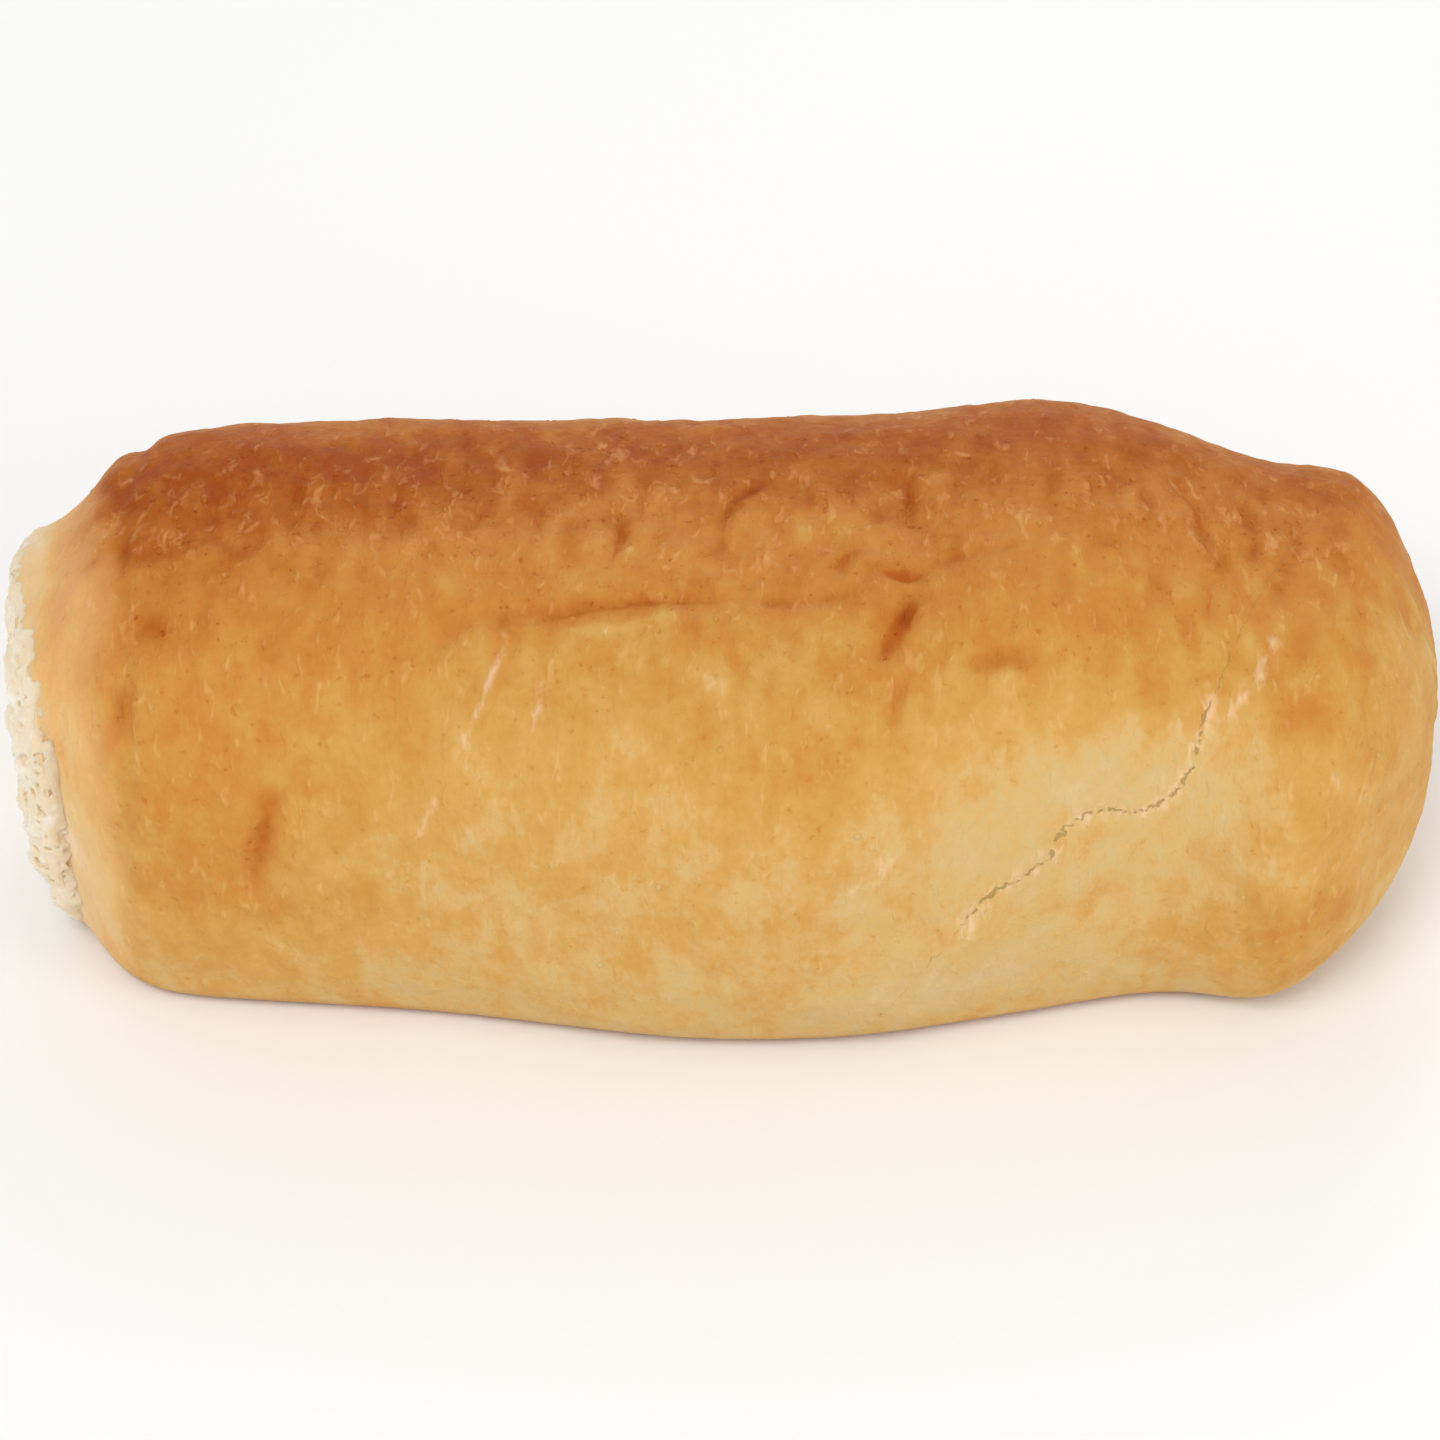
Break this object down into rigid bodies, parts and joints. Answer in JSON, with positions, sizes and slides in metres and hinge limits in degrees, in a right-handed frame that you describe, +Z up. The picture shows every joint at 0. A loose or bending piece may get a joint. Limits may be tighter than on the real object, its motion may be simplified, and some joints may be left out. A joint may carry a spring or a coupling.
{
  "type": "panini roll",
  "caption": "Soft, long sandwich roll with a browned crust, a flat foot and one torn end that shows the pale crumb.",
  "frame": {"origin": "middle of the box around the roll, at the level of its foot", "axes": "+X along the roll from the torn end to the rounded end, +Z up from the foot to the crown, -Y towards the broad golden front side"},
  "size_m": [0.1796, 0.0824, 0.059],
  "materials": {
    "crust": "baked wheat crust, soft and dry, golden at the sides and brown at the crown"
  },
  "bodies": {
    "root": {"roll": "crust"}
  },
  "joints": []
}
